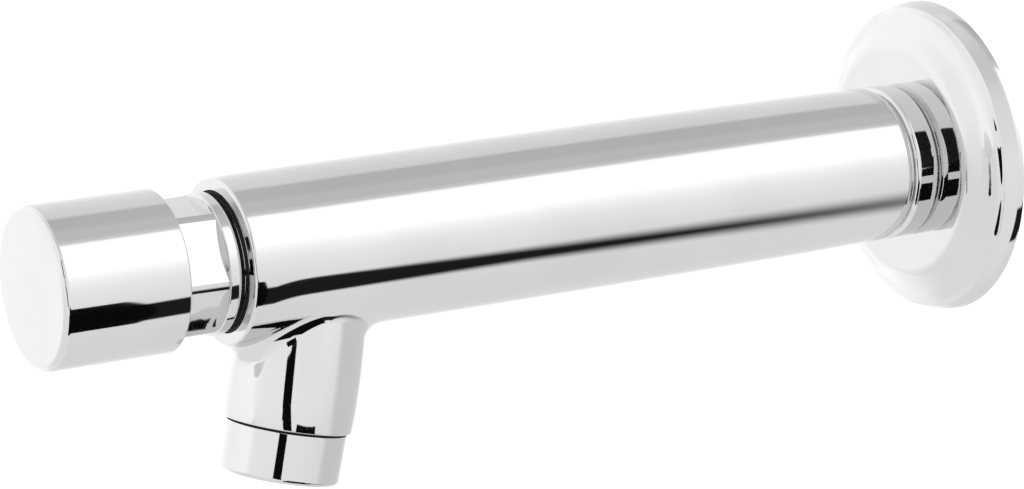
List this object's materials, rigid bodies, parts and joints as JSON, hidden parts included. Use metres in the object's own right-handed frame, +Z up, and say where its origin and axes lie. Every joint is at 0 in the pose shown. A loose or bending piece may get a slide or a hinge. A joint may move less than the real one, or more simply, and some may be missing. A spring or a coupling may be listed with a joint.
{
  "type": "push timed tap",
  "caption": "Wall-mounted self-closing push tap: round body, angled nozzle with aerator, hexagonal bonnet, push cap and dished wall flange.",
  "frame": {"origin": "centre of the wall flange's back face, on the tap's long axis, where it meets the wall", "axes": "+Z up; the wall is on the +Y side and the tap stands out along -Y; the nozzle points down"},
  "size_m": [0.066, 0.22, 0.0799],
  "materials": {
    "chrome": "polished chromium plate on brass",
    "black_rubber": "moulded black nitrile rubber",
    "stainless_steel": "turned or drawn stainless steel",
    "bare_brass": "turned, unplated",
    "white_acetal": "moulded, satin",
    "grey_acetal": "moulded, satin"
  },
  "bodies": {
    "tap": {"tap_body": "chrome", "inlet_connector": "chrome", "connector_seal": "black_rubber", "flow_limiter": "white_acetal", "inlet_strainer": "stainless_steel", "wall_flange": "chrome", "wall_gasket": "black_rubber", "bonnet": "chrome", "bonnet_seal": "black_rubber", "stem_seals": "black_rubber", "seal_spacer": "white_acetal", "guide_bush": "bare_brass", "timing_sleeve": "grey_acetal", "sleeve_seal": "black_rubber", "return_spring": "stainless_steel", "aerator_housing": "chrome", "aerator_washer": "black_rubber", "jet_plate": "white_acetal", "mixing_cage": "white_acetal", "outlet_screen": "grey_acetal"},
    "push_button": {"push_cap": "chrome", "stem": "stainless_steel", "timing_piston": "white_acetal", "piston_cup": "black_rubber", "metering_pin": "stainless_steel", "piston_clip": "stainless_steel", "valve_washer": "black_rubber", "washer_holder": "bare_brass", "washer_nut": "bare_brass"}
  },
  "joints": [
    {"name": "button_push", "type": "slide", "parent": "tap", "child": "push_button", "axis": [0, 1, 0], "range_m": [0, 0.0075], "stiffness_N_per_m": 1200, "springref_m": -0.006, "deforming": ["return_spring"]}
  ]
}
